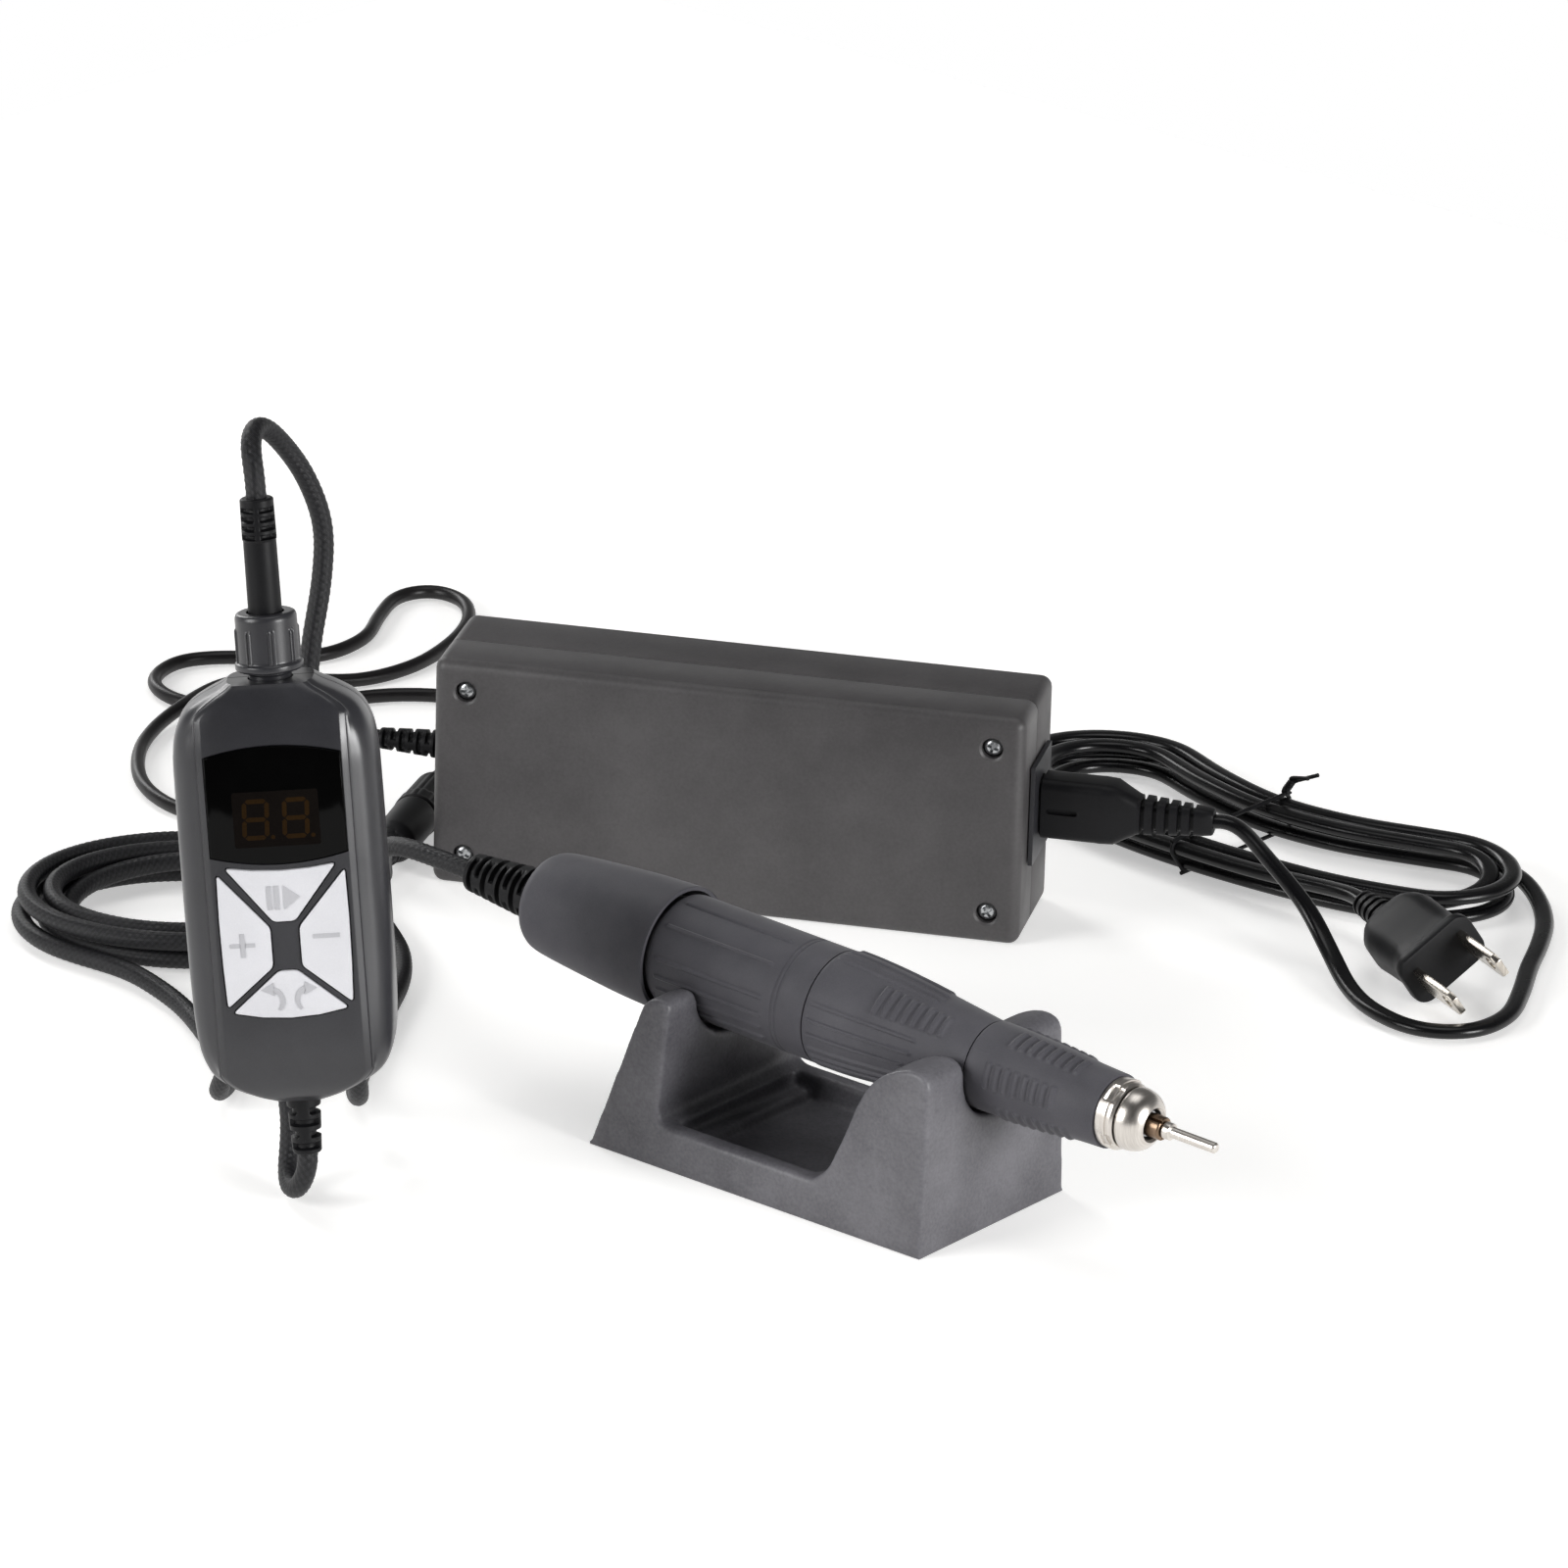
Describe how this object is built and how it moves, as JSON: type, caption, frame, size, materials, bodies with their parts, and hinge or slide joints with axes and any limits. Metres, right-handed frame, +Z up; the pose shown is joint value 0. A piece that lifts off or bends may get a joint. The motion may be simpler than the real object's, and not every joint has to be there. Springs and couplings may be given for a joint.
{
  "type": "portable nail drill",
  "caption": "Portable nail drill: slim handpiece resting on a cradle, hand controller with display and keys, box-shaped power adapter, joined by cords.",
  "frame": {"origin": "centre of the cradle's underside, on the surface that the set stands on", "axes": "+X along the cradle towards the bit end of the handpiece, +Y across the cradle towards the adapter, +Z up"},
  "size_m": [0.3988, 0.3425, 0.1625],
  "materials": {
    "housing_plastic": "satin black",
    "handpiece_plastic": "matte charcoal",
    "cradle_plastic": "matte dark grey",
    "adapter_plastic": "fine textured black",
    "internal_plastic": "moulded",
    "display_lens": "gloss black",
    "key_plastic": "light grey",
    "soft_black": "black",
    "cord_jacket": "smooth black",
    "cord_braid": "braided black",
    "nickel": "polished",
    "steel": "turned",
    "brass": "turned",
    "aluminium": "turned",
    "board": "solder mask",
    "ferrite": "sintered"
  },
  "bodies": {
    "root": {"controller_front_shell": "housing_plastic", "controller_rear_shell": "housing_plastic", "threaded_socket": "housing_plastic", "cradle_shell": "cradle_plastic", "cradle_base_plate": "cradle_plastic", "adapter_front_shell": "adapter_plastic", "adapter_rear_shell": "adapter_plastic", "mains_inlet": "adapter_plastic", "mains_connector": "adapter_plastic", "mains_plug": "adapter_plastic", "display_module": "internal_plastic", "hank_tie": "internal_plastic", "coil_tie": "internal_plastic", "display_window": "display_lens", "controller_strain_relief": "soft_black", "supply_plug": "soft_black", "adapter_strain_relief": "soft_black", "coupling_plug": "soft_black", "coupling_socket": "soft_black", "switch_mat": "soft_black", "supply_cord": "cord_jacket", "mains_lead": "cord_jacket", "mains_cord_hank": "cord_jacket", "supply_lead": "cord_braid", "handpiece_cord_rear": "cord_braid", "handpiece_cord_coil": "cord_braid", "handpiece_cord_front": "cord_braid", "plug_blades": "nickel", "inlet_pins": "nickel", "housing_screw": "steel", "adapter_screw_1": "steel", "adapter_screw_2": "steel", "adapter_screw_3": "steel", "adapter_screw_4": "steel", "circuit_board": "board", "adapter_board": "board", "transformer": "ferrite"},
    "handpiece": {"handpiece_strain_relief": "soft_black", "motor_end_cap": "handpiece_plastic", "motor_casing": "handpiece_plastic", "front_grip": "handpiece_plastic", "nose_ring": "nickel", "nose_cone": "nickel", "spindle_barrel": "aluminium", "rear_bearing": "steel", "front_bearing": "steel", "motor_can": "steel", "brush_gear": "internal_plastic"},
    "twist_sleeve_body": {"twist_sleeve": "handpiece_plastic"},
    "chuck_pusher": {"collet_pusher": "steel"},
    "spindle": {"rotor": "steel", "drive_coupler": "brass", "spindle_shaft": "steel", "collet": "steel"},
    "bit": {"test_bit": "nickel"},
    "run_pause_key": {"button_run_pause": "key_plastic"},
    "plus_key": {"button_plus": "key_plastic"},
    "minus_key": {"button_minus": "key_plastic"},
    "direction_key": {"button_direction": "key_plastic"},
    "nut": {"coupling_nut": "housing_plastic"}
  },
  "joints": [
    {"name": "handpiece_lift", "type": "slide", "parent": "root", "child": "handpiece", "axis": [0.0297, 0, 0.9996], "range_m": [0, 0.06]},
    {"name": "chuck_twist", "type": "hinge", "parent": "handpiece", "child": "twist_sleeve_body", "pos_m": [0, 0, 0.0368], "axis": [0.9996, 0, -0.0297], "range_deg": [0, 60]},
    {"name": "chuck_push", "type": "slide", "parent": "handpiece", "child": "chuck_pusher", "axis": [0.9996, 0, -0.0297], "range_m": [0, 0.0015]},
    {"name": "spindle_spin", "type": "hinge", "parent": "handpiece", "child": "spindle", "pos_m": [0, 0, 0.0368], "axis": [0.9996, 0, -0.0297], "continuous": true},
    {"name": "bit_pull", "type": "slide", "parent": "spindle", "child": "bit", "axis": [0.9996, 0, -0.0297], "range_m": [0, 0.03]},
    {"name": "run_pause_press", "type": "slide", "parent": "root", "child": "run_pause_key", "axis": [-0.6062, 0.7831, -0.1386], "range_m": [0, 0.0005], "stiffness_N_per_m": 1500, "springref_m": -0.0002},
    {"name": "plus_press", "type": "slide", "parent": "root", "child": "plus_key", "axis": [-0.6062, 0.7831, -0.1386], "range_m": [0, 0.0005], "stiffness_N_per_m": 1500, "springref_m": -0.0002},
    {"name": "minus_press", "type": "slide", "parent": "root", "child": "minus_key", "axis": [-0.6062, 0.7831, -0.1386], "range_m": [0, 0.0005], "stiffness_N_per_m": 1500, "springref_m": -0.0002},
    {"name": "direction_press", "type": "slide", "parent": "root", "child": "direction_key", "axis": [-0.6062, 0.7831, -0.1386], "range_m": [0, 0.0005], "stiffness_N_per_m": 1500, "springref_m": -0.0002},
    {"name": "nut_turn", "type": "hinge", "parent": "root", "child": "nut", "pos_m": [-0.08147, -0.08533, 0.12025], "axis": [-0.1596, 0.0509, 0.9859], "range_deg": [0, 360]}
  ],
  "couplings": [
    {"joint": "chuck_twist", "follows": "chuck_push", "rad_per_m": 698}
  ]
}
